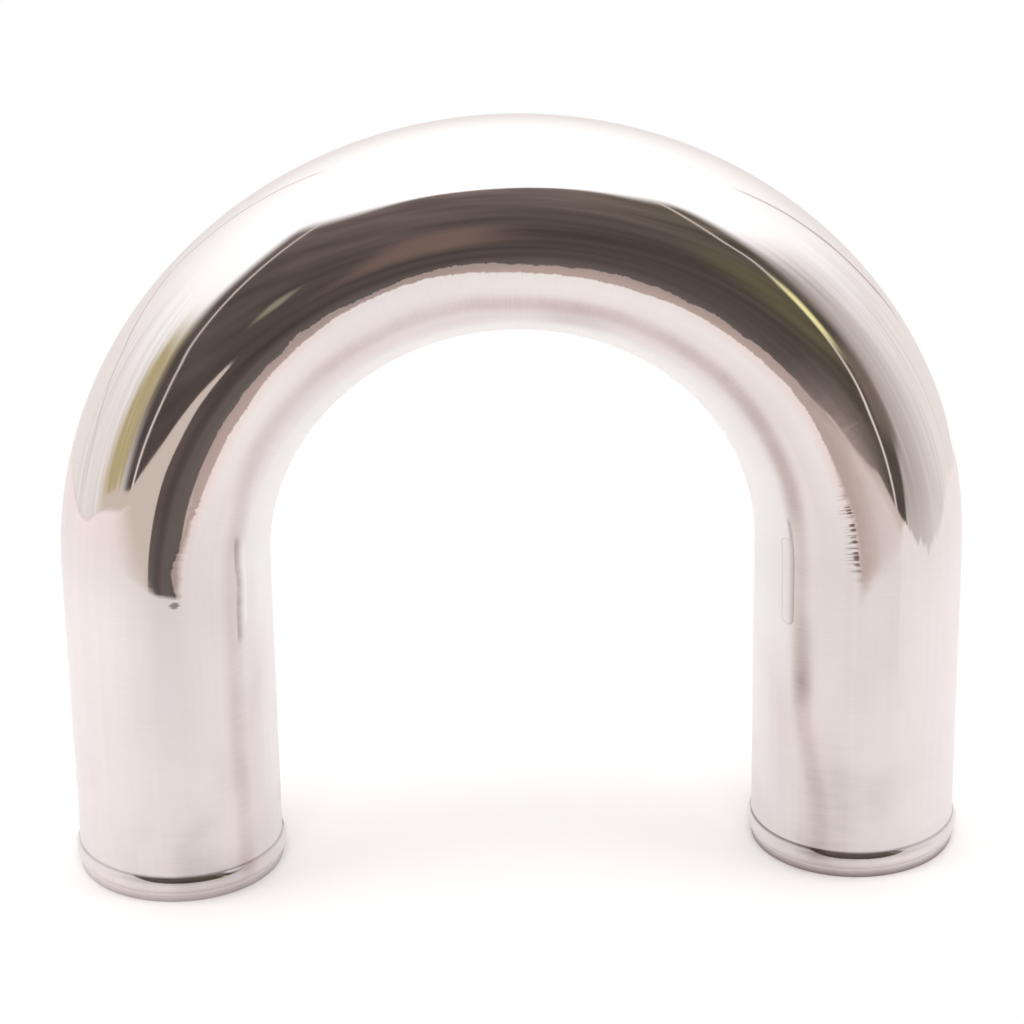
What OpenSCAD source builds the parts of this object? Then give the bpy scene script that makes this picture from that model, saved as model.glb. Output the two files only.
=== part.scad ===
// Return bend: one tube bent through 180 degrees, with a rolled bead near
// each open end. It stands on its two open ends. Millimetres, +Z up.

/* [Tube] */
// Outside diameter of the tube
tube_od = 76; // [60:1:90]
// Wall thickness of the tube
wall = 2; // [1.5:0.25:2.5]

/* [Bend] */
// Radius of the bend, measured to the middle of the tube
bend_radius = 127; // [110:1:200]
// Straight length of each leg, from the open end to the start of the bend
leg_length = 121; // [60:1:240]

/* [Bead] */
// How far the bead stands out from the tube
bead_height = 1.6; // [1:0.1:1.8]
// Width of the bead along the tube
bead_width = 6.8; // [6.4:0.2:10]
// Plain lip between the bead and the open end
lip_length = 3.4; // [2:0.2:12]
// Broken edges of the open end
edge_break = 0.3; // [0.1:0.1:0.6]

/* [Hidden] */
$fn = 128;
tube_r = tube_od / 2;
bore_r = tube_r - wall;
// the bead is an arc that rises bead_height over a chord of bead_width
bead_arc = (bead_width * bead_width / 4 + bead_height * bead_height) / (2 * bead_height);
bead_mid = tube_r + bead_height - bead_arc;
bead_z = lip_length + bead_width / 2;

// half section of a leg's wall: x is the radius, y the height above the open end
module wall_section() {
    difference() {
        union() {
            // plain wall, with both edges of the open end broken
            polygon([
                [bore_r + edge_break, 0],
                [tube_r - edge_break, 0],
                [tube_r, edge_break],
                [tube_r, leg_length],
                [bore_r, leg_length],
                [bore_r, edge_break]
            ]);
            // outside of the rolled bead
            intersection() {
                translate([bead_mid, bead_z]) circle(r = bead_arc);
                translate([bore_r + wall / 2, 0]) square([wall + bead_height, bead_z + bead_width]);
            }
        }
        // groove that the rolled bead leaves inside, one wall thickness below it
        translate([bead_mid, bead_z]) circle(r = bead_arc - wall);
    }
}

// straight leg with its bead, standing on its open end
module leg(side) {
    translate([side * bend_radius, 0, 0]) rotate_extrude() wall_section();
}

// half turn of tube that joins the tops of the two legs
module half_turn() {
    translate([0, 0, leg_length]) rotate([90, 0, 0])
        rotate_extrude(angle = 180)
            translate([bend_radius, 0]) difference() {
                circle(r = tube_r);
                circle(r = bore_r);
            }
}

// the whole tube is one piece: two legs and the half turn between them
module bent_tube() {
    color([0.88, 0.86, 0.85]) union() {
        leg(-1);
        leg(1);
        half_turn();
    }
}

bent_tube();
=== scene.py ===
"""Return bend: an aluminium tube turned through half a circle, with a rolled bead
near each open end. The bend is polished, and the legs and the inside of the bend
are left satin. The tube stands on its two ends on a pale floor, in a white tent
that is open in front."""

import math

import bpy
import numpy as np
from mathutils import Matrix, Vector


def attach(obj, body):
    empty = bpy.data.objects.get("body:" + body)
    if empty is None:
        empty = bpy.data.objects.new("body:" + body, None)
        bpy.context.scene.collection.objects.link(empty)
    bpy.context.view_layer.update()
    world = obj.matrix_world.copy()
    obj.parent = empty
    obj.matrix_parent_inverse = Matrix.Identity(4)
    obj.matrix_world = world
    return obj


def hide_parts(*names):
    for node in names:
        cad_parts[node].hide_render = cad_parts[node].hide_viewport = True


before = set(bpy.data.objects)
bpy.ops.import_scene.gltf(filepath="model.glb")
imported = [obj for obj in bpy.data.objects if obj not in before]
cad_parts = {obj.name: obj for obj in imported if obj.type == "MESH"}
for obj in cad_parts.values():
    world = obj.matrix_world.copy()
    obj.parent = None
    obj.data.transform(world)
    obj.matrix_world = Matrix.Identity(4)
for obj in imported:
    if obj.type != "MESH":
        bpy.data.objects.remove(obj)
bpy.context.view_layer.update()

# Sizes in millimetres, the same as in the part's source.
TUBE_R, WALL = 38.0, 2.0
BEND_R, LEG = 127.0, 121.0
BEAD_H, BEAD_W, LIP = 1.6, 6.8, 3.4
INSET = 0.06  # the bead's crest stays just inside the part's own box
EDGE = 0.3  # broken edges of the open ends
FILLET = 0.7  # where the bead runs out into the tube
TURN = math.pi * BEND_R  # length of the bend along its middle
AROUND = 180  # points round the tube

BEAD_ARC = (BEAD_W**2 / 4 + BEAD_H**2) / (2 * BEAD_H)
BEAD_MID = TUBE_R + BEAD_H - INSET - BEAD_ARC
BEAD_Z = LIP + BEAD_W / 2


# ---------------------------------------------------------------- the tube's mesh
def arc(mid, radius, first, last, count):
    """Points (radius, height) along an arc, angles in degrees."""
    a = np.radians(np.linspace(first, last, count))
    return np.c_[mid[0] + radius * np.cos(a), mid[1] + radius * np.sin(a)]


def leg_section(inside):
    """The wall of a leg from its open end up to the bend, as (radius, height)."""
    rise = TUBE_R + FILLET - BEAD_MID
    reach = math.sqrt((BEAD_ARC + FILLET) ** 2 - rise**2)
    lean = math.degrees(math.atan2(reach, rise))
    low, high = (TUBE_R + FILLET, BEAD_Z - reach), (TUBE_R + FILLET, BEAD_Z + reach)
    cut = WALL if inside else 0.0
    if inside:
        edge = arc((TUBE_R - WALL + EDGE, EDGE), EDGE, 270, 180, 4)
    else:
        edge = arc((TUBE_R - EDGE, EDGE), EDGE, -90, 0, 5)
        edge = np.vstack([[(TUBE_R - WALL / 2, 0.0)], edge])
    plain = TUBE_R - cut
    lip = np.c_[[plain] * 2, np.linspace(EDGE, low[1], 4)[1:3]]
    bead = [
        arc(low, FILLET + cut, 180, 180 - lean, 5)[:-1],
        arc((BEAD_MID, BEAD_Z), BEAD_ARC - cut, -lean, lean, 9 if inside else 15)[:-1],
        arc(high, FILLET + cut, 180 + lean, 180, 5),
    ]
    steps = np.linspace(high[1], LEG, 12 if inside else 42)[1:-1]
    return np.vstack([edge, lip, *bead, np.c_[np.full(len(steps), plain), steps]])


def stations():
    """Rows of points along the tube: out over one end, along the outside, in over
    the other end and back through the inside. Each row is (place along the middle
    of the tube from the left end of the bend, radius, 1 inside)."""
    outer, inner = leg_section(False), leg_section(True)
    rows = [(z - LEG, r, 0) for r, z in outer]
    rows += [(s, TUBE_R, 0) for s in np.linspace(0, TURN, 236)]
    rows += [(TURN + LEG - z, r, 0) for r, z in outer[::-1]]
    rows += [(TURN + LEG - z, r, 1) for r, z in inner]
    rows += [(s, TUBE_R - WALL, 1) for s in np.linspace(TURN, 0, 91)]
    rows += [(z - LEG, r, 1) for r, z in inner[::-1]]
    return np.array(rows)


def smooth(x, low, high):
    t = np.clip((x - low) / (high - low), 0, 1)
    return t * t * (3 - 2 * t)


def capsule(s, arc_len, start, end, half, lean=0.0):
    """1 inside a long rounded mark that runs along the tube, 0 outside."""
    along = np.clip(s, start, end)
    off = arc_len - lean * (along - (start + end) / 2)
    return 1 - smooth(np.hypot(s - along, off), half - 0.9, half + 0.9)


def worn_away(s, phi):
    """How far the surface lies below the true tube, in millimetres: gentle waves
    left by polishing the bend, and shallow flats pressed by the bending dies."""
    bend = smooth(s, -30, 25) * (1 - smooth(s, TURN - 25, TURN + 30))
    waves = (
        np.cos(2 * np.pi * s / 37 + 2 * phi)
        + 0.8 * np.cos(2 * np.pi * s / 53 - 3 * phi + 1.3)
        + 0.6 * np.cos(2 * np.pi * s / 23 + phi + 2.1)
        + 0.5 * np.cos(2 * np.pi * s / 29 - 5 * phi + 0.4)
    )
    depth = 0.006 * bend * (waves + 2.9)
    # the back is turned half round, so it carries the same flats
    along = np.where(np.sin(phi) < 0, s, TURN - s)
    lat = np.degrees(np.arccos(np.clip(np.cos(phi), -1, 1)))
    # on one leg a thin lens, pressed deepest along one edge
    middle = np.interp(along, [-22, -5, 2, 11, 19, 27], [135.8, 136.4, 137, 135.5, 134, 132.5])
    off = np.radians(lat - middle) * TUBE_R
    wide = 2.0 * np.sqrt(np.clip(1 - ((along - 2.5) / 27) ** 2, 1e-4, 1))
    lens = smooth(off / wide, -1.2, -0.4) * (1 - smooth(off / wide, -0.4, 1.2))
    lens = lens * (np.abs(along - 2.5) < 27)
    # on the other a long flat with rounded ends
    flat = capsule(along, np.radians(lat - 139.2) * TUBE_R, 386, 418, 2.7)
    depth = depth + 0.16 * lens + 0.18 * flat
    return depth


def tube_mesh(name):
    rows = stations()
    s, radius, inside = rows[:, 0], rows[:, 1], rows[:, 2]
    phi = np.linspace(-np.pi, np.pi, AROUND, endpoint=False)
    s2, phi2 = np.meshgrid(s, phi, indexing="ij")
    r2 = np.repeat(radius[:, None], AROUND, 1)
    skin = (inside == 0) & (s > -LEG + 14) & (s < TURN + LEG - 14)
    r2 = r2 - np.where(skin[:, None], worn_away(s2, phi2), 0)
    # middle of the tube and the direction away from the bend's centre
    turn = np.clip(s2 / BEND_R, 0, math.pi)
    away = np.stack([-np.cos(turn), np.zeros_like(turn), np.sin(turn)], -1)
    below = np.minimum(s2, 0) - np.maximum(s2 - TURN, 0)
    mid = away * BEND_R
    mid[..., 2] += LEG + below
    side = np.array([0.0, 1.0, 0.0])
    out = away * np.cos(phi2)[..., None] + side * np.sin(phi2)[..., None]
    points = (mid + out * r2[..., None]) / 1000

    count = len(s)
    i = np.arange(count)[:, None]
    j = np.arange(AROUND)[None, :]
    i1, j1 = (i + 1) % count, (j + 1) % AROUND
    quads = np.stack(np.broadcast_arrays(
        i * AROUND + j, i * AROUND + j1, i1 * AROUND + j1, i1 * AROUND + j), -1)
    quads = quads.reshape(-1, 4)
    mesh = bpy.data.meshes.new(name)
    mesh.from_pydata(points.reshape(-1, 3).tolist(), [], quads.tolist())
    mesh.polygons.foreach_set("use_smooth", np.ones(len(quads), bool))
    within = np.repeat(inside * np.roll(inside, -1), AROUND)
    mesh.polygons.foreach_set("material_index", within.astype(np.int32))

    # the tube as if it were straight, in millimetres, for the finish's pattern
    straight = np.stack([r2 * np.cos(phi2), r2 * np.sin(phi2), s2], -1)
    place = mesh.attributes.new("straight", "FLOAT_VECTOR", "POINT")
    place.data.foreach_set("vector", straight.astype(np.float32).ravel())

    # one strip of the map for the outside and one for the inside
    step = np.hypot(np.diff(s), np.diff(radius))
    run = np.r_[0, np.cumsum(step)]
    half = int(np.argmax(inside))
    u = np.where(inside == 0, run / run[half], 1 - (run - run[half]) / (run[-1] - run[half]))
    u = 0.004 + 0.992 * u
    u_next = np.roll(u, -1)
    u_next[half - 1], u_next[-1] = 0.999, 0.001
    v = (np.arange(AROUND + 1) / AROUND) * 0.488
    base = np.where(within.reshape(count, AROUND)[:, 0] > 0, 0.506, 0.006)
    layer = mesh.uv_layers.new(name="OFBake")
    uv = np.zeros((count, AROUND, 4, 2))
    for k, (along, around) in enumerate(((u, v[:-1]), (u, v[1:]), (u_next, v[1:]), (u_next, v[:-1]))):
        uv[:, :, k, 0] = along[:, None]
        uv[:, :, k, 1] = base[:, None] + around[None, :]
    layer.data.foreach_set("uv", uv.astype(np.float32).ravel())
    mesh.update()
    if mesh.validate():
        raise ValueError("the tube's mesh has faults")
    return mesh


# ---------------------------------------------------------------- node helpers
class Nodes:
    """Short names for building a node tree."""

    def __init__(self, tree):
        self.tree = tree
        tree.nodes.clear()

    def add(self, kind, **settings):
        node = self.tree.nodes.new("ShaderNode" + kind)
        for name, value in settings.items():
            setattr(node, name, value)
        return node

    def put(self, socket, value):
        if isinstance(value, bpy.types.NodeSocket):
            self.tree.links.new(value, socket)
        else:
            socket.default_value = value

    def math(self, operation, *values):
        node = self.add("Math", operation=operation)
        for socket, value in zip(node.inputs, values):
            self.put(socket, value)
        return node.outputs[0]

    def product(self, *values):
        made = values[0]
        for value in values[1:]:
            made = self.math("MULTIPLY", made, value)
        return made

    def scaled(self, value, by, plus=0.0):
        return self.math("MULTIPLY_ADD", value, by, plus)

    def less(self, value):
        return self.math("SUBTRACT", 1.0, value)

    def step(self, value, low, high, kind="SMOOTHSTEP"):
        """0 up to low, 1 from high on."""
        node = self.add("MapRange", interpolation_type=kind)
        for socket, v in zip(node.inputs, (value, low, high)):
            self.put(socket, v)
        return node.outputs[0]

    def band(self, value, low, high, soft):
        return self.product(
            self.step(value, low - soft, low + soft),
            self.less(self.step(value, high - soft, high + soft)),
        )

    def curve(self, value, points, handle="AUTO_CLAMPED"):
        """A curve through points (x, y), flat beyond its ends."""
        xs, ys = zip(*points)
        x0, x1, y0, y1 = min(xs), max(xs), min(ys), max(ys)
        node = self.add("FloatCurve")
        self.put(node.inputs["Value"], self.step(value, x0, x1, "LINEAR"))
        line = node.mapping.curves[0]
        while len(line.points) < len(points):
            line.points.new(0.5, 0.5)
        for point, (x, y) in zip(line.points, points):
            point.location = ((x - x0) / (x1 - x0), (y - y0) / (y1 - y0))
            point.handle_type = handle
        node.mapping.update()
        return self.scaled(node.outputs[0], y1 - y0, y0)

    def grain(self, place, around, along, detail=2.0):
        """Noise whose marks are this long round the tube and along it, in millimetres."""
        fit = self.add("VectorMath", operation="MULTIPLY")
        self.put(fit.inputs[0], place)
        self.put(fit.inputs[1], (1 / around, 1 / around, 1 / along))
        noise = self.add("TexNoise")
        self.put(noise.inputs["Vector"], fit.outputs[0])
        self.put(noise.inputs["Scale"], 1.0)
        self.put(noise.inputs["Detail"], detail)
        return noise.outputs["Fac"]

    def blend(self, factor, first, second):
        node = self.add("Mix", data_type="RGBA")
        self.put(node.inputs["Factor"], factor)
        a, b = [k for k in node.inputs if k.type == "RGBA"]
        self.put(a, first)
        self.put(b, second)
        return [k for k in node.outputs if k.type == "RGBA"][0]

    def mix(self, factor, first, second):
        node = self.add("Mix", data_type="FLOAT")
        self.put(node.inputs["Factor"], factor)
        a, b = [k for k in node.inputs if k.type == "VALUE" and k.name in "AB"]
        self.put(a, first)
        self.put(b, second)
        return [k for k in node.outputs if k.type == "VALUE"][0]

    def split(self, vector):
        node = self.add("SeparateXYZ")
        self.put(node.inputs[0], vector)
        return node.outputs[0], node.outputs[1], node.outputs[2]

    def surface(self, colour, roughness, height, distance, strength=1.0, metallic=1.0):
        bump = self.add("Bump")
        self.put(bump.inputs["Height"], height)
        self.put(bump.inputs["Distance"], distance)
        self.put(bump.inputs["Strength"], strength)
        metal = self.add("BsdfPrincipled")
        self.put(metal.inputs["Base Color"], colour)
        self.put(metal.inputs["Metallic"], metallic)
        self.put(metal.inputs["Roughness"], roughness)
        self.put(metal.inputs["Normal"], bump.outputs[0])
        end = self.add("OutputMaterial")
        self.put(end.inputs["Surface"], metal.outputs[0])


# ---------------------------------------------------------------- finishes
def outside_finish():
    """Mirror polish over the outer half of the bend, running out into satin metal
    with fine brushing round the tube, burnished flats and a few rubbed marks."""
    material = bpy.data.materials.new("aluminium_polished_bend")
    material.use_nodes = True
    n = Nodes(material.node_tree)
    place = n.add("Attribute", attribute_name="straight").outputs["Vector"]
    x, y, s = n.split(place)
    lat = n.scaled(n.math("ARCTAN2", n.math("ABSOLUTE", y), x), 180 / math.pi)
    # the back is finished as the front is, turned half round
    front = n.math("LESS_THAN", y, 0.0)
    along = n.mix(front, n.math("SUBTRACT", TURN, s), s)

    hair = n.grain(place, 11, 0.5, 2.0)
    tuft = n.grain(place, 16, 2.4, 2.0)
    comb = n.grain(place, 90, 1.2, 1.0)
    wobble = n.grain(place, 30, 17, 1.0)
    cloud = n.grain(place, 26, 34, 2.0)
    drawn = n.grain(place, 2.2, 160, 1.0)

    # edges of the mirror and of the half-polished rim beside it, towards the inside
    # of the bend, in degrees from its outer line
    mirror = n.curve(along, [
        (-6, 92), (2, 97.4), (6, 97), (10, 95.6), (16, 96), (24, 98.6), (35, 99.2),
        (46, 97.6), (70, 96.4), (90, 94.8), (106, 93.8), (120, 92), (132, 91.5),
        (150, 92.3), (170, 91), (185, 91.3), (194, 92), (202, 93.8), (210, 93.7),
        (230, 93.4), (250, 93.3), (270, 93.4), (290, 93.2), (304, 92.8), (316, 92), (326, 91),
        (346, 88), (404, 86),
    ])
    rim = n.curve(along, [
        (-6, 96), (0, 98.6), (6, 99.4), (14, 99.4), (25, 101.2), (36, 102), (50, 103.2),
        (70, 102.2), (86, 101), (100, 98.8), (120, 96.8), (140, 95), (165, 94.6),
        (180, 95.8), (195, 97.6), (215, 98.8), (240, 99), (270, 98), (300, 97.8),
        (318, 97), (330, 97.5), (346, 98.6), (361, 98.8), (368, 98), (380, 97.4), (392, 97),
        (404, 95.5),
    ])
    fray = n.scaled(n.less(n.band(along, 45, 360, 12)), 0.9, 0.9)
    ragged = n.math("MULTIPLY", n.scaled(hair, 2.0, -1.0), fray)
    shift = n.math("ADD", ragged, n.scaled(tuft, 1.6, -0.8))
    scallop = n.math("ADD", shift, n.scaled(n.grain(place, 60, 9, 1.0), 3.0, -1.5))
    inner = n.less(n.step(n.math("SUBTRACT", lat, n.math("ADD", mirror, scallop)), -0.25, 0.3))
    spread = n.scaled(n.less(n.band(along, 30, 352, 16)), 1.9, 0.55)
    outer = n.less(n.step(
        n.math("SUBTRACT", lat, n.math("ADD", rim, shift)), n.math("MULTIPLY", spread, -1.0), spread))
    # edge of the polish on each leg, by the angle from the outer line: a smooth lobe
    # on the left that runs out slowly beside it, and a feathered lobe on the right
    loose = n.math("ADD", n.scaled(tuft, 1.6, -0.8), n.scaled(hair, 1.2, -0.6))
    lobe = n.curve(lat, [
        (0, 44), (11, 36), (17, 33.2), (23, 30), (29, 26.7), (33.4, 24.7), (40, 23.5), (44.4, 24.7),
        (47.5, 26.7), (50.6, 28.3), (54, 29.6), (57.6, 30.2), (62, 31), (65, 32.4), (67, 35),
    ])
    lobe = n.step(n.math("SUBTRACT", n.math("ADD", along, loose), lobe), -1.2, 1.4)
    starts = n.curve(along, [
        (1.5, 87), (3, 85), (5, 80), (9.7, 68), (14.2, 62.2), (21, 60.5), (28, 58.6), (36, 57)])
    whole = n.curve(along, [
        (1.5, 91), (3, 89.5), (6.5, 87), (11.2, 84.5), (16, 82), (23, 78), (30, 73), (36, 69)])
    slant = n.math("ADD", n.math("ADD", along, n.scaled(lat, 0.15, -16.9)), loose)
    wide = n.product(
        n.step(n.math("ADD", lat, n.scaled(tuft, 3.0, -1.5)), starts, whole), n.step(slant, -1.2, 1.2))
    left = n.math("MAXIMUM", lobe, wide)
    right = n.curve(lat, [
        (0, 368), (15, 371), (25, 373.5), (34, 375.8), (38.4, 379), (42, 383), (45.6, 385.8),
        (50.2, 388.3), (55.5, 389.8), (61.7, 387), (65.3, 384.4), (68.4, 381), (70.3, 378.5),
        (73, 380.5), (76.6, 383.5), (82.8, 388.2), (88.6, 392), (92.2, 395.5), (98, 399.5),
    ])
    feather = n.product(n.scaled(n.grain(place, 1.1, 40, 1.0), 9.0, -5.0), n.band(lat, 47, 66, 4))
    at = n.math("ADD", n.math("ADD", along, feather), n.scaled(tuft, 2.0, -1.0))
    soft = n.scaled(n.step(lat, 69, 74), 10.0, 1.6)
    dim = n.scaled(n.step(lat, 44, 52), 2.4, -4.0)
    right = n.less(n.step(n.math("SUBTRACT", at, right), dim, soft))
    ends = n.product(left, right)
    fade = n.product(lobe, n.less(lobe), n.less(n.step(lat, 50, 60)))
    # where the polish runs out, it breaks up into specks too fine to see
    grit = n.add("TexWhiteNoise")
    n.put(grit.inputs["Vector"], place)
    grit = grit.outputs["Value"]
    # the mirror thins out before the right leg, and so does the rim after it
    thin = n.product(n.step(along, 300, 350), n.step(lat, 70, 86))
    ease = n.product(
        n.step(n.math("ADD", along, n.math("ADD", n.scaled(lat, 2.6, -2.6 * 76), n.scaled(hair, 10, -5))), 366, 380),
        n.less(n.step(lat, 79, 98)))
    ends = n.product(ends, n.less(n.scaled(ease, 0.58)))
    polish = n.product(inner, ends, n.less(n.product(thin, n.scaled(hair, 0.7, 0.35))))
    polish = n.math("GREATER_THAN", polish, grit)
    half = n.math("GREATER_THAN", n.product(outer, ends), grit)
    buffed_and_shaded = n.math("SUBTRACT", half, polish)
    # the rollers burnish the top of each bead; painted shade puts a dark line in the crease above it and darkens the
    # lip below it and the bottom edge against the floor
    low = n.math("MINIMUM", n.math("ADD", s, LEG), n.math("SUBTRACT", TURN + LEG, s))
    foot_side = n.step(along, 100, 300)
    off = n.math("DIVIDE", n.math("SUBTRACT", lat, n.mix(foot_side, 99.0, 93.0)), n.mix(foot_side, 35.0, 29.0))
    bottom = n.scaled(n.math("POWER", n.math("ABSOLUTE", off), 3.4), 1.6, 8.3)
    bead = n.product(
        n.step(n.math("SUBTRACT", low, bottom), -0.2, 0.2), n.less(n.step(low, 9.85, 10.25)))
    # painted shade: the dark line in the crease above the bead
    edge = n.product(n.band(low, 9.7, 10.6, 0.4), n.mix(foot_side, 1.0, n.scaled(n.step(lat, 70, 120), 0.9, 1.1)))
    # painted shade: the lip under the bead's overhang
    lip = n.product(
        n.less(n.step(low, 2.4, 3.6)), n.mix(foot_side, n.scaled(n.step(lat, 30, 80), 0.8, 0.2), 1.1))
    # painted shade: the bottom edge, darkest against the floor
    contact_shade = n.product(n.less(n.step(low, 0.0, 3.4)), n.scaled(foot_side, 0.5, 0.55))

    # flats from the dies: a lens with painted shade along its steep edge and a painted highlight beside it,
    # and a long flat with rounded ends, a little darker inside, with painted shade on its outline, darker side and
    # tapered end
    middle = n.curve(along, [
        (-22, 135.8), (-11, 135.9), (-5, 136.4), (2, 137), (11, 135.5), (19, 134), (27, 132.5)])
    across = n.math("SUBTRACT", lat, middle)
    lens = n.product(
        n.band(along, -20, 26, 2.5), n.step(across, -3.4, -2.2), n.less(n.step(across, -1.4, 2.9)),
        n.scaled(tuft, 0.7, 0.6))
    # painted highlight: a light line beside the lens
    glint = n.product(n.band(along, -14, 24, 3.0), n.band(across, 3.2, 4.6, 0.5))
    across = n.scaled(n.math("SUBTRACT", lat, 139.2), math.radians(TUBE_R))
    beyond = n.math("MAXIMUM", n.math("SUBTRACT", n.math("ABSOLUTE", n.math("ADD", along, -402)), 16), 0.0)
    rim_gap = n.math("SUBTRACT", n.math("SQRT", n.math(
        "ADD", n.math("MULTIPLY", beyond, beyond), n.math("MULTIPLY", across, across))), 2.8)
    outline = n.less(n.step(n.math("ABSOLUTE", rim_gap), 0.1, 0.45))
    within = n.less(n.step(rim_gap, -0.5, 0.2))
    side = n.less(n.step(across, -2.8, 0.6))
    # painted shade on the long flat's outline and darker side, over a slightly darker inside
    flat = n.math("ADD", n.product(outline, n.scaled(side, 0.5, 0.5)), n.product(within, n.scaled(side, 0.75, 0.12)))
    # painted shade: a dark tapered end above the long flat
    taper = n.product(n.band(along, 373, 386, 2.5), n.band(lat, 134.4, 136.6, 0.7))
    flat = n.math("MAXIMUM", flat, taper)
    # painted shade: a faint dark streak runs along the whole tube, standing in for the shadowed floor under the arch
    # that the satin reflects
    streak_line = n.curve(along, [
        (-121, 132), (-85, 131.5), (-43, 129), (0, 130), (25, 130), (50, 126), (75, 122), (100, 120),
        (125, 119), (150, 117.5), (175, 116.5), (200, 119.5), (250, 120), (275, 121.5),
        (300, 122.5), (325, 125), (350, 127.5), (375, 130), (400, 131), (430, 130), (470, 124), (500, 116), (520, 115),
    ])
    deep = n.curve(along, [
        (-121, 0.17), (-40, 0.15), (50, 0.15), (100, 0.2), (125, 0.25), (150, 0.21), (175, 0.2),
        (225, 0.26), (250, 0.21), (275, 0.26), (300, 0.31), (325, 0.26), (350, 0.36), (375, 0.28),
        (400, 0.18), (425, 0.28), (440, 0.28), (458, 0.18), (520, 0.15),
    ])
    away = n.math("ABSOLUTE", n.math("SUBTRACT", lat, streak_line))
    shade_streak = n.product(n.less(n.step(away, 0.8, 9.5)), n.scaled(cloud, 1.1, 0.35))
    shade_streak = n.product(shade_streak, n.scaled(hair, 0.4, 0.8), deep, n.step(low, 2, 9))
    # rubbed marks: short strokes beside the polish, a spot and dull smudges
    line = n.curve(along, [(362, 98), (372, 97.4), (386, 97.3), (396, 96), (404, 95)])
    tail = n.math("SUBTRACT", lat, n.math("ADD", line, n.scaled(tuft, 2.0, -1.0)))
    roots = n.product(n.step(comb, 0.44, 0.57), n.less(n.step(tail, 1.6, 3.8)))
    wisps = n.product(n.step(hair, 0.5, 0.62), n.step(comb, 0.38, 0.52), n.less(n.step(tail, 2.0, 8.0)))
    strokes = n.product(
        n.band(along, 364.5, 395, 4.0), n.step(tail, -0.8, 0.4),
        n.math("MAXIMUM", roots, n.scaled(wisps, 0.8)))
    wide = n.scaled(lat, 0.38, -0.38 * 96.4)
    tall = n.scaled(along, 0.75, 0.45)
    spot = n.math("SQRT", n.math("ADD", n.math("MULTIPLY", wide, wide), n.math("MULTIPLY", tall, tall)))
    spot = n.math("ADD", spot, n.math("ADD", n.scaled(tuft, 1.0, -0.5), n.scaled(hair, 1.8, -0.9)))
    spot = n.less(n.step(spot, 0.5, 1.3))
    smudge = n.product(
        n.band(along, 418, 448, 7.0), n.band(lat, 121, 133, 5.0), n.scaled(cloud, 0.8, 0.6))
    smudge = n.math("MAXIMUM", smudge, n.product(n.band(along, 214, 240, 9), n.band(lat, 126, 137, 6), 0.8))
    # darker over the lower front of the right leg
    right_leg_dark = n.product(n.step(along, 452, 500), n.band(lat, 98, 128, 8.0), n.scaled(tuft, 0.8, 0.6), n.step(low, 2, 9))
    # painted shade along a crease on the right leg, sharp on one side and fading off on the other
    crease = n.product(
        n.step(lat, 73.2, 74.4), n.less(n.step(lat, 75, 90)), n.band(along, 386, 438, 10))
    # painted shade, mottled: the legs darken towards the floor, most on their fronts
    low_shade = n.product(
        n.less(n.step(low, 4, 70)), n.scaled(n.step(low, 1, 7), 0.7, 0.3),
        n.math("ADD", n.step(cloud, 0.40, 0.66), 0.45), n.scaled(tuft, 0.8, 0.5),
        n.scaled(n.band(lat, 74, 126, 16), 0.7, 0.2))

    satin = n.less(half)
    dull = n.scaled(drawn, 0.05, -0.025)
    dull = n.math("ADD", dull, n.scaled(cloud, 0.06, -0.03))
    dull = n.math("MULTIPLY", n.math("ADD", dull, n.scaled(hair, 0.06, -0.03)), satin)
    dark = dull
    for mark, depth in (
        (strokes, 0.8), (spot, 0.65), (smudge, 0.18), (low_shade, 0.19), (lens, 0.3), (glint, -0.08),
        (flat, 0.28), (shade_streak, 1.0), (lip, 0.16), (contact_shade, 0.42), (edge, 0.3), (fade, 0.4),
        (right_leg_dark, 0.12), (crease, 0.05),
    ):
        dark = n.math("ADD", dark, n.scaled(mark, depth))
    # painted light: the satin is painted lighter beside the polish, near the bend and on the inside,
    # and less pink on the legs' outer sides, where the tent's light falls on it differently
    beyond = n.math("SUBTRACT", lat, rim)
    beside = n.less(n.step(beyond, 5, 17))
    beside = n.product(beside, n.band(along, 40, 372, 40))
    near_bend = n.product(n.step(low, 50, 120), n.band(lat, 24, 114, 12))
    within_bend = n.product(n.step(lat, 128, 142), n.band(along, -32, 442, 25))
    within_bend = n.math("MAXIMUM", within_bend, n.scaled(n.step(lat, 138, 162), 0.75))
    outside = n.less(n.step(lat, 12, 38))
    plain = n.blend(outside, (0.732, 0.675, 0.677, 1), (0.728, 0.702, 0.706, 1))
    plain = n.blend(within_bend, plain, (0.805, 0.79, 0.788, 1))
    plain = n.blend(near_bend, plain, (0.765, 0.711, 0.709, 1))
    plain = n.blend(beside, plain, (0.775, 0.727, 0.716, 1))
    colour = n.blend(half, plain, (0.925, 0.885, 0.872, 1))
    # painted reflection: the half-polished rim's dark brown stands in for the shaded front of the floor it mirrors
    colour = n.blend(buffed_and_shaded, colour, (0.49, 0.39, 0.36, 1))
    # the marks and the painted shade are tinted a little brown, and so are the painted streak and the satin close to
    # the polish
    skirt = n.product(satin, n.less(n.step(beyond, 1.0, 6.0)), n.less(n.band(along, 130, 270, 30)))
    warm = n.math("ADD", shade_streak, n.product(skirt, n.band(along, 20, 372, 20), 0.5))
    stain = n.add("CombineXYZ")
    for socket, by, more in zip(stain.inputs, (-0.96, -1.02, -1.03), (0.0, -0.15, -0.17)):
        n.put(socket, n.math("ADD", n.scaled(dark, by, 1.0), n.scaled(warm, more)))
    tint = n.add("VectorMath", operation="MULTIPLY")
    n.put(tint.inputs[0], colour)
    n.put(tint.inputs[1], stain.outputs[0])

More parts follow.
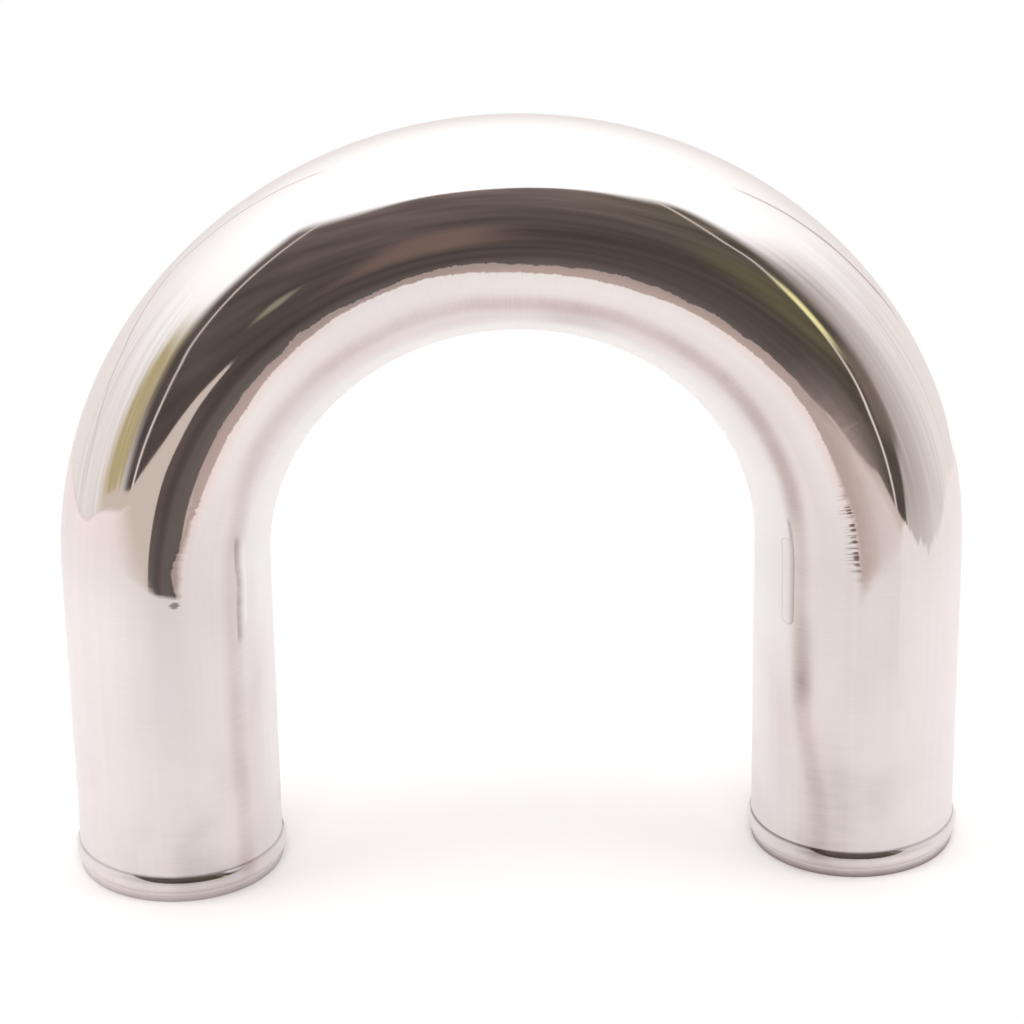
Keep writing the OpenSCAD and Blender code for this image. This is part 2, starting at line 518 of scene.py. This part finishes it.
    matt = n.math("ADD", n.scaled(cloud, 0.1, 0.38), n.scaled(hair, 0.1, -0.05))
    for mark, by in ((within, 0.05), (smudge, 0.02), (shade_streak, 0.1)):
        matt = n.math("SUBTRACT", matt, n.scaled(mark, by))
    shine = n.math("ADD", n.scaled(wobble, 0.04, 0.03), n.scaled(hair, 0.03, -0.01))
    rough = n.mix(half, matt, n.scaled(thin, 0.08, 0.16))
    rough = n.mix(polish, rough, shine)
    rough = n.mix(bead, rough, 0.12)
    height = n.math("ADD", hair, n.scaled(drawn, 0.25))
    relief = n.math("ADD", n.scaled(satin, 0.47, 0.03), n.scaled(n.product(thin, half), 0.1))
    # fine pits make the satin scatter light evenly
    even = n.math("SUBTRACT", n.scaled(beside, -0.33, 0.53), n.product(near_bend, n.less(beside), 0.05))
    even = n.mix(n.math("MAXIMUM", half, bead), even, n.scaled(buffed_and_shaded, -0.6, 1.0))
    n.surface(tint.outputs[0], rough, height, 0.00002, relief, even)
    return material


def inside_finish():
    """The bore as drawn: duller, with long faint lines and a few cloudy patches."""
    material = bpy.data.materials.new("aluminium_bore")
    material.use_nodes = True
    n = Nodes(material.node_tree)
    place = n.add("Attribute", attribute_name="straight").outputs["Vector"]
    drawn = n.grain(place, 1.4, 190, 3.0)
    cloud = n.grain(place, 18, 30, 3.0)
    shade = n.math("ADD", n.scaled(drawn, 0.5, 0.1), n.scaled(cloud, 0.5, 0.0))
    colour = n.blend(shade, (0.70, 0.66, 0.65, 1), (0.84, 0.80, 0.785, 1))
    rough = n.math("ADD", n.scaled(cloud, 0.2, 0.32), n.scaled(drawn, 0.12, 0.0))
    n.surface(colour, rough, drawn, 0.00004, 0.6)
    return material


tube = bpy.data.objects.new("return_bend_tube", tube_mesh("return_bend_tube"))
bpy.context.scene.collection.objects.link(tube)
tube.data.materials.append(outside_finish())
tube.data.materials.append(inside_finish())
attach(tube, "root")
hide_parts("bent_tube")


# ---------------------------------------------------------------- floor
def floor_finish():
    """Pale matt paint round the feet, bare white light further off."""
    material = bpy.data.materials.new("pale_floor")
    material.use_nodes = True
    n = Nodes(material.node_tree)
    x, y, _ = n.split(n.add("TexCoord").outputs["Object"])
    past = n.math("MAXIMUM", n.math("ADD", n.math("ABSOLUTE", x), -0.13), 0.0)
    gap = n.math("SQRT", n.math("ADD", n.math("MULTIPLY", past, past), n.math("MULTIPLY", y, y)))
    bare = n.product(n.step(gap, 0.08, 0.12), n.add("LightPath").outputs["Is Camera Ray"])
    matt = n.add("BsdfDiffuse")
    n.put(matt.inputs["Color"], (0.92, 0.90, 0.895, 1))
    glow = n.add("Emission")
    n.put(glow.inputs["Color"], (1.0, 1.0, 1.0, 1))
    both = n.add("MixShader")
    n.put(both.inputs[0], bare)
    n.put(both.inputs[1], matt.outputs[0])
    n.put(both.inputs[2], glow.outputs[0])
    n.put(n.add("OutputMaterial").inputs["Surface"], both.outputs[0])
    return material


def glowing(name, colour, seen):
    """A flat pale glow, with another colour for the camera."""
    material = bpy.data.materials.new(name)
    material.use_nodes = True
    material.cycles.emission_sampling = "NONE"
    n = Nodes(material.node_tree)
    glow = n.add("Emission")
    n.put(glow.inputs["Color"], n.blend(n.add("LightPath").outputs["Is Camera Ray"], (*colour, 1), (*seen, 1)))
    n.put(n.add("OutputMaterial").inputs["Surface"], glow.outputs[0])
    return material


def ring(name, inner, outer, finish):
    """A flat frame between two upright rectangles, or a plain one with no inner."""
    (x0, y0), (x1, y1) = outer
    points = [(-x0, -y0, 0), (x1, -y0, 0), (x1, y1, 0), (-x0, y1, 0)]
    faces = [(0, 1, 2, 3)]
    if inner:
        (a0, b0), (a1, b1) = inner
        points += [(-a0, -b0, 0), (a1, -b0, 0), (a1, b1, 0), (-a0, b1, 0)]
        faces = [(0, 1, 5, 4), (1, 2, 6, 5), (2, 3, 7, 6), (3, 0, 4, 7)]
    mesh = bpy.data.meshes.new(name)
    mesh.from_pydata(points, [], faces)
    made = bpy.data.objects.new(name, mesh)
    bpy.context.scene.collection.objects.link(made)
    mesh.materials.append(finish)
    return made


near = ((0.42, 0.25), (0.4, 0.45))
ring("floor_near", None, near, floor_finish())
far = ring("floor_far", near, ((8, 8), (8, 8)), glowing("far_floor", (1.14, 1.11, 1.1), (1.0, 1.0, 1.0)))
far.visible_glossy = False


def card(name, corners, colour):
    """A flat card in front of the floor, seen only in the metal: painted shade, a dim glow that stands in for the
    shaded front of the floor.
    """
    mesh = bpy.data.meshes.new(name)
    mesh.from_pydata([(x, y, -0.001) for x, y in corners], [], [tuple(range(len(corners)))])
    made = bpy.data.objects.new(name, mesh)
    bpy.context.scene.collection.objects.link(made)
    mesh.materials.append(glowing(name, colour, colour))
    for way in ("camera", "diffuse", "transmission", "shadow"):
        setattr(made, "visible_" + way, False)


card("card_left", [
    (-0.2, -0.25), (-0.264, -0.42), (-0.335, -0.61), (-0.365, -0.75), (-0.44, -1.0),
    (-0.52, -1.45), (-0.68, -1.8), (-0.86, -1.75), (-0.82, -1.4), (-0.8, -1.12), (-0.86, -0.83),
    (-0.85, -0.64), (-1.2, -0.54), (-1.2, -0.25),
], (0.62, 0.53, 0.47))
card("card_middle", [
    (0.05, -0.25), (-0.055, -0.25), (-0.055, -0.36), (-0.02, -0.47), (0.05, -0.47),
], (0.54, 0.445, 0.405))
card("card_right", [
    (0.05, -0.25), (0.05, -0.41), (0.2, -0.53), (0.42, -0.53), (0.45, -0.36), (0.47, -0.25),
], (0.62, 0.53, 0.48))


# ---------------------------------------------------------------- light
def studio():
    """Soft light from a white tent. Its open front is dark, with a pale frame line
    on each side, and its back is a little grey near the floor."""
    world = bpy.data.worlds.new("white_tent")
    world.use_nodes = True
    n = Nodes(world.node_tree)
    x, y, z = n.split(n.add("TexCoord").outputs["Generated"])
    deg = 180 / math.pi
    az = n.scaled(n.math("ARCTAN2", x, n.math("MULTIPLY", y, -1.0)), deg)
    el = n.scaled(n.math("ARCSINE", z), deg)
    turn = n.math("ABSOLUTE", az)

    # cloth: white above, a little greyer low down
    bright = n.curve(el, [(-30, 0.84), (2, 0.88), (26, 1.04), (45, 1.22), (62, 1.36), (90, 1.4)])
    cloth = n.add("VectorMath", operation="SCALE")
    n.put(cloth.inputs[0], n.blend(n.step(el, -6, 24), (1.0, 0.94, 0.92, 1), (1.0, 0.99, 0.985, 1)))
    n.put(cloth.inputs["Scale"], bright)
    cloth = cloth.outputs[0]
    # folds and seams behind, and the right wall in half shade
    fold = n.add("TexNoise", noise_dimensions="2D")
    lean = n.add("CombineXYZ")
    n.put(lean.inputs[0], n.math("ADD", az, n.scaled(el, 0.35)))
    n.put(lean.inputs[1], n.scaled(el, 0.12))
    n.put(fold.inputs["Vector"], lean.outputs[0])
    n.put(fold.inputs["Scale"], 0.22)
    n.put(fold.inputs["Detail"], 2.0)
    crease = fold.outputs["Fac"]
    shade = n.product(
        n.step(az, 44, 50), n.less(n.step(az, 58, 112)), n.less(n.step(el, 24, 44)),
        n.scaled(n.step(el, -26, -10), 0.5, 0.4), n.scaled(crease, 0.9, 0.5))
    cloth = n.blend(n.math("MINIMUM", shade, 1.0), cloth, (0.38, 0.32, 0.3, 1))
    wall = n.product(n.band(turn, 62, 125, 12), n.less(n.step(el, 10, 34)), n.step(crease, 0.35, 0.75))
    cloth = n.blend(n.scaled(wall, 0.5), cloth, (0.62, 0.56, 0.55, 1))
    seam = n.product(
        n.less(n.step(n.math("ABSOLUTE", n.math("ADD", az, 150.5)), 0.3, 1.0)),
        n.band(el, 5, 36, 3))
    slope = n.curve(az, [(-151, 5), (-133, 5.6), (-123, 3), (-113, -2), (-106, -9)])
    hem = n.product(
        n.less(n.step(n.math("ABSOLUTE", n.math("SUBTRACT", el, slope)), 0.25, 0.9)),
        n.band(az, -150, -106, 2))
    bend = n.curve(el, [
        (-4, 145), (0, 143.2), (3, 141.2), (7.4, 139.2), (11.4, 138), (17.5, 135.9), (22.8, 134.4), (28.7, 132.2),
        (35, 129.8), (40, 128)])
    other = n.product(
        n.less(n.step(n.math("ABSOLUTE", n.math("SUBTRACT", az, bend)), 0.5, 1.6)),
        n.band(el, -4, 37, 3), n.scaled(n.step(el, 12, 34), -0.45, 1.5))
    seams = n.math("MAXIMUM", seam, n.math("MAXIMUM", hem, other))
    cloth = n.blend(n.scaled(seams, 0.55), cloth, (0.45, 0.38, 0.37, 1))
    # a soft olive patch on the left of the opening
    patch = n.product(
        n.step(az, -88, -74), n.less(n.step(az, -62, -56)), n.band(el, -12, 22, 8),
        n.scaled(crease, 1.3, 0.35))
    cloth = n.blend(n.math("MINIMUM", patch, 1.0), cloth, (0.465, 0.39, 0.215, 1))

    # the opening, dark and a little lighter towards its top
    high = n.curve(az, [(-64, 49.4), (-40, 51.5), (0, 55), (40, 51), (58, 49.4)])
    west = n.curve(el, [(-12, -54), (0, -58), (10, -61.5), (26, -64), (37, -62.5), (50, -66)])
    east = n.curve(el, [(-18, 50.5), (-8, 55), (0, 58.5), (10, 58.5), (20, 57), (34, 56), (50, 53)])
    blur = n.scaled(n.step(turn, 16, 44), 3.2, 0.9)
    rise = n.step(el, -14, -2)
    opening = n.product(
        n.less(n.step(n.math("SUBTRACT", el, high), n.math("MULTIPLY", blur, -1.0), blur)),
        n.step(n.math("SUBTRACT", az, west), -7.0, 4.0),
        n.less(n.step(n.math("SUBTRACT", az, east), n.scaled(rise, -4.0, -1.0), n.scaled(rise, 4.5, 1.2))),
    )
    level = n.curve(el, [(-40, 0.14), (-27, 0.13), (-18, 0.098), (-12, 0.088), (-6, 0.079), (4, 0.081), (20, 0.1), (34, 0.118), (54, 0.18)])
    dim = n.add("VectorMath", operation="SCALE")
    tone = n.blend(n.step(el, -25, -19), (1.0, 0.85, 0.8, 1), (1.0, 0.78, 0.72, 1))
    n.put(dim.inputs[0], n.blend(n.step(az, 0, 44), tone, (1.0, 0.82, 0.66, 1)))
    drift = n.add("CombineXYZ")
    n.put(drift.inputs[0], n.scaled(az, 0.035))
    n.put(drift.inputs[1], n.math("ADD", n.scaled(el, 0.16), n.scaled(az, 0.03)))
    dusk = n.add("TexNoise", noise_dimensions="2D")
    n.put(dusk.inputs["Vector"], drift.outputs[0])
    n.put(dusk.inputs["Scale"], 1.0)
    n.put(dusk.inputs["Detail"], 1.0)
    core = n.product(n.band(az, -13, -5, 3.0), n.less(n.step(el, -18, -9)))
    level = n.product(level, n.scaled(core, -0.3, 1.0))
    n.put(dim.inputs["Scale"], n.math("MULTIPLY", level, n.scaled(dusk.outputs["Fac"], 0.9, 0.6)))
    hole = n.blend(opening, cloth, dim.outputs[0])
    # frame lines inside the opening, and soft patches of colour beside them
    left = n.curve(el, [(-12, -47.6), (0, -49), (10, -51.6), (20, -55), (30, -55), (50, -55.6)])
    right = n.curve(el, [(-18, 41), (-8, 42.6), (2, 45.4), (12, 46), (26, 46.6), (34, 44.6), (50, 46)])
    for line in (left, right):
        gap = n.math("ABSOLUTE", n.math("SUBTRACT", az, line))
        strip = n.product(opening, n.less(n.step(gap, 0.35, 1.2)), n.step(el, -22, -16))
        strip = n.product(strip, n.scaled(n.step(el, -6, 10), -0.22, 0.88))
        hole = n.blend(strip, hole, (0.92, 0.82, 0.77, 1))
    stripe = n.product(
        n.step(n.math("SUBTRACT", az, right), 1.5, 4.0), n.less(n.step(az, 58, 63)), n.band(el, -7, 9, 3.0))
    hole = n.blend(n.scaled(stripe, 0.7), hole, (0.21, 0.165, 0.14, 1))
    warm = n.product(n.band(az, -10, 1, 3.5), n.band(el, -3, 16, 4.0))
    hole = n.blend(n.scaled(warm, 0.8), hole, (0.2, 0.138, 0.118, 1))
    olive = n.product(n.band(az, 28, 44, 8), n.band(el, 2, 22, 6))
    hole = n.blend(n.scaled(olive, 0.3), hole, (0.2, 0.18, 0.07, 1))
    glow = n.product(n.band(az, 45.4, 49.0, 1.5), n.band(el, 7.5, 20.5, 4.0))
    hole = n.blend(n.scaled(glow, 0.9), hole, (1.0, 0.95, 0.45, 1))
    pale = n.product(n.band(az, -25, -20.6, 1.2), n.band(el, 5.5, 10.5, 1.5))
    hole = n.blend(n.scaled(pale, 0.7), hole, (0.36, 0.33, 0.25, 1))

    # the camera sees a plain white surround
    seen = n.add("LightPath").outputs["Is Camera Ray"]
    sky = n.add("Background")
    n.put(sky.inputs["Color"], n.blend(seen, hole, (1.0, 1.0, 1.0, 1)))
    end = n.add("OutputWorld")
    n.put(end.inputs["Surface"], sky.outputs[0])
    bpy.context.scene.world = world


def soft_lamp(name, azimuth, elevation, distance, size, power):
    """A broad soft lamp that lights the satin and the floor and leaves no glint."""
    a, e = math.radians(azimuth), math.radians(elevation)
    back = Vector((math.sin(a) * math.cos(e), -math.cos(a) * math.cos(e), math.sin(e)))
    data = bpy.data.lights.new(name, "AREA")
    data.shape = "RECTANGLE"
    data.size, data.size_y = size
    data.energy = power
    made = bpy.data.objects.new(name, data)
    bpy.context.scene.collection.objects.link(made)
    made.location = Vector((0, 0, 0.13)) + back * distance
    made.rotation_euler = back.to_track_quat("Z", "Y").to_euler()
    made.visible_camera = False
    made.visible_glossy = False


studio()
soft_lamp("front_lamp", -4, 26, 2.0, (1.8, 1.0), 17.0)
soft_lamp("left_lamp", -82, 16, 2.0, (1.4, 1.0), 14.0)
soft_lamp("right_lamp", 82, 16, 2.0, (1.4, 1.0), 14.0)
bpy.context.scene.view_settings.view_transform = "Standard"


# ---------------------------------------------------------------- camera
def camera(azimuth, elevation, roll, distance, aim, focal):
    """Looks at aim from in front; angles in degrees, focal length in pixels of a
    frame 1024 wide."""
    a, e, t = map(math.radians, (azimuth, elevation, roll))
    back = Vector((math.sin(a) * math.cos(e), -math.cos(a) * math.cos(e), math.sin(e)))
    right = (-back).cross(Vector((0, 0, 1))).normalized()
    up = right.cross(-back)
    across = math.cos(t) * right + math.sin(t) * up
    upward = -math.sin(t) * right + math.cos(t) * up
    place = Vector(aim) + back * distance
    data = bpy.data.cameras.new("camera")
    data.sensor_width = 36.0
    data.lens = 36.0 * focal / 1024
    data.clip_start, data.clip_end = 0.05, 60
    made = bpy.data.objects.new("camera", data)
    bpy.context.scene.collection.objects.link(made)
    made.matrix_world = Matrix((
        (across.x, upward.x, back.x, place.x),
        (across.y, upward.y, back.y, place.y),
        (across.z, upward.z, back.z, place.z),
        (0, 0, 0, 1),
    ))
    bpy.context.scene.camera = made


camera(-2.332, 23.714, -0.909, 1.3471, (-0.00027, 0.0, 0.13611), 3690.4)
